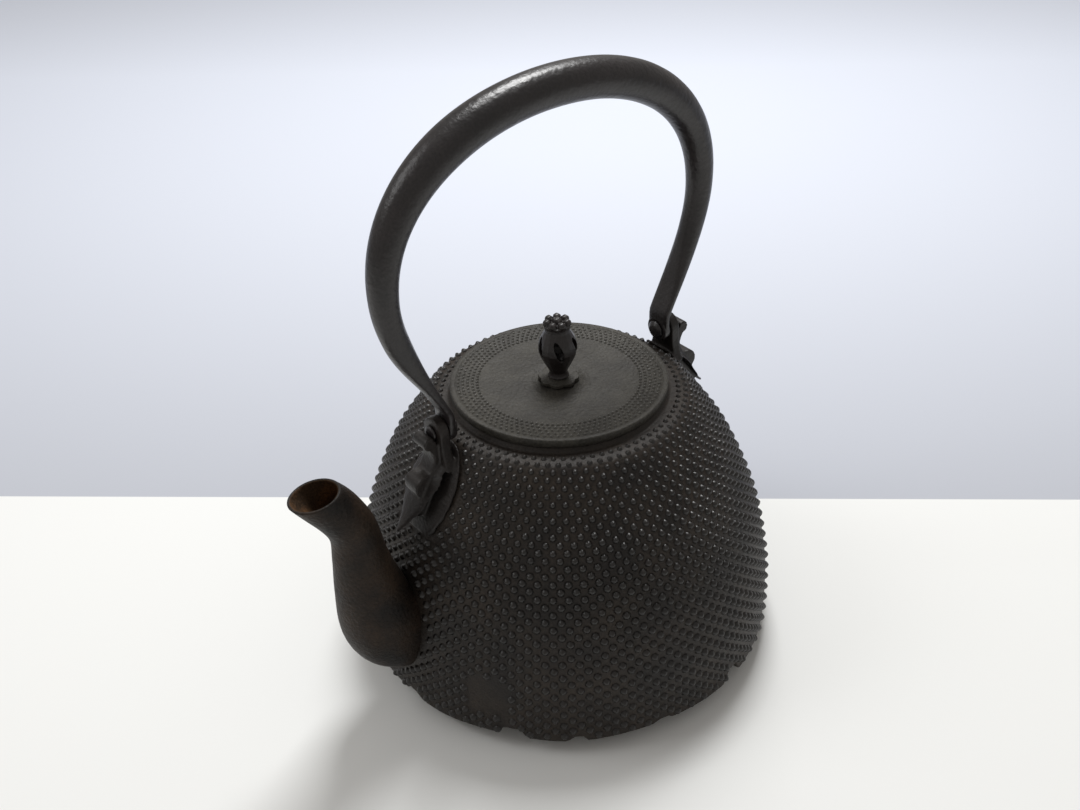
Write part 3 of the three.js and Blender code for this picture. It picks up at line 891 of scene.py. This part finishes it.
for end in ("front", "rear"):
    soft_cast(f"{end}_lug", f"{end}_lug_cast", "kettle", LUG_IRON, voxel=0.4, rounds=6)
    soft_cast(f"{end}_rivet", f"{end}_rivet_forged", "kettle", HANDLE_IRON,
              voxel=0.25, rounds=4)
soft_cast("knob", "knob_cast", "lid_set", KNOB_IRON, voxel=0.22, rounds=4)
# Seat and washer take the lid's iron, with its painted light.
soft_cast("knob_seat", "knob_seat_cast", "lid_set", LID_IRON_PAINTED_LIGHT, voxel=0.2, rounds=5)
soft_cast("knob_washer", "knob_washer_cut", "lid_set", LID_IRON_PAINTED_LIGHT, voxel=0.2, rounds=2)

# %% [markdown]
# ## Floor and backdrop
# The kettle stands on a pale floor before a cooler, greyer backdrop. An upright backdrop would cut
# through the kettle's far side where the two tones meet in the picture. So both lie flat, and the
# far one darkens towards the line where they meet: painted shade, as at the foot of a wall.

# %% Pale finishes
EDGE_FROM_AXIS, EDGE_ANGLE = 0.0704, math.radians(48.8)   # where the two tones meet on the floor
FLOOR_WHITE = (0.80, 0.81, 0.80, 1)
BACKDROP_PAINTED_SHADE_GREY, BACKDROP_FAR, SHADE_DEPTH = (0.47, 0.49, 0.54, 1), (0.82, 0.87, 0.98, 1), 0.7
PALE_ROUGHNESS, PALE_SHINE = 0.9, 0.1

away = Vector((math.cos(EDGE_ANGLE), math.sin(EDGE_ANGLE), 0))
across = Vector((-away.y, away.x, 0))


def pale(name, colour):
    material = bpy.data.materials.new(name)
    material.use_nodes = True
    shader = material.node_tree.nodes["Principled BSDF"]
    shader.inputs["Base Color"].default_value = colour
    shader.inputs["Roughness"].default_value = PALE_ROUGHNESS
    shader.inputs["Specular IOR Level"].default_value = PALE_SHINE
    return material


# Painted shade: the backdrop is darkest at the edge where it meets the floor.
def shade_towards_edge(material, close, far_off, depth):
    nodes, links = material.node_tree.nodes, material.node_tree.links
    place = nodes.new("ShaderNodeTexCoord")
    reach = nodes.new("ShaderNodeVectorMath")
    reach.operation = "DOT_PRODUCT"
    reach.inputs[1].default_value = away / depth
    links.new(place.outputs["Object"], reach.inputs[0])
    ramp = nodes.new("ShaderNodeValToRGB")
    ramp.color_ramp.elements[0].position = EDGE_FROM_AXIS / depth
    ramp.color_ramp.elements[0].color = close
    ramp.color_ramp.elements[1].color = far_off
    links.new(reach.outputs["Value"], ramp.inputs["Fac"])
    links.new(ramp.outputs["Color"], nodes["Principled BSDF"].inputs["Base Color"])


# %% [markdown]
# ## Lay the sheets
# Two rectangles share the edge where the tones meet. They reach far past the kettle, so that it
# has a floor in views from other sides too.

# %% Floor and backdrop
TOWARDS_VIEWER, BEYOND, TO_EACH_SIDE = 2.2, 2.6, 3.0      # reach of the sheets in metres


def sheet(name, corners, material):
    mesh = bpy.data.meshes.new(name)
    mesh.from_pydata(corners, [], [(0, 1, 2, 3)])
    mesh.materials.append(material)
    as_object(name, mesh)


edge, side = away * EDGE_FROM_AXIS, across * TO_EACH_SIDE
near, far = -away * TOWARDS_VIEWER, away * BEYOND
cool_grey = pale("backdrop_grey", BACKDROP_PAINTED_SHADE_GREY)
shade_towards_edge(cool_grey, BACKDROP_PAINTED_SHADE_GREY, BACKDROP_FAR, SHADE_DEPTH)
sheet("floor", [near - side, edge - side, edge + side, near + side], pale("floor_white", FLOOR_WHITE))
sheet("backdrop", [edge - side, far - side, far + side, edge + side], cool_grey)
print("the tones meet", round(EDGE_FROM_AXIS / MM, 1), "mm behind the axis")

# %% [markdown]
# ## Light
# The main light of the photograph is soft and comes from high behind the kettle. It throws the
# shadow towards the viewer and picks out the tips of the nubs. A second, weaker lamp on the left
# gives the long soft shine on the handle, and an even, slightly warm world fills the shadows.

# %% World and lamps
WORLD_COLOUR, WORLD_STRENGTH = (0.91, 0.87, 0.83, 1), 0.45
KETTLE_MIDDLE = Vector((0, 0, 0.09))

world = bpy.data.worlds.new("room")
bpy.context.scene.world = world
world.use_nodes = True
sky = world.node_tree.nodes["Background"]
sky.inputs["Color"].default_value = WORLD_COLOUR
sky.inputs["Strength"].default_value = WORLD_STRENGTH


def area_lamp(name, to_right, back, height, size, power):
    data = bpy.data.lights.new(name, "AREA")
    data.size = size
    data.energy = power
    lamp = as_object(name, data)
    lamp.location = -across * to_right + away * back + Vector((0, 0, height))
    lamp.rotation_euler = (KETTLE_MIDDLE - lamp.location).to_track_quat("-Z", "Y").to_euler()


area_lamp("high_lamp", to_right=0.08, back=0.42, height=0.95, size=0.34, power=8.6)
area_lamp("left_lamp", to_right=-0.8, back=-0.1, height=0.9, size=0.5, power=2.5)
bpy.context.scene.view_settings.view_transform = "Standard"
print("lamps:", len(bpy.data.lights))
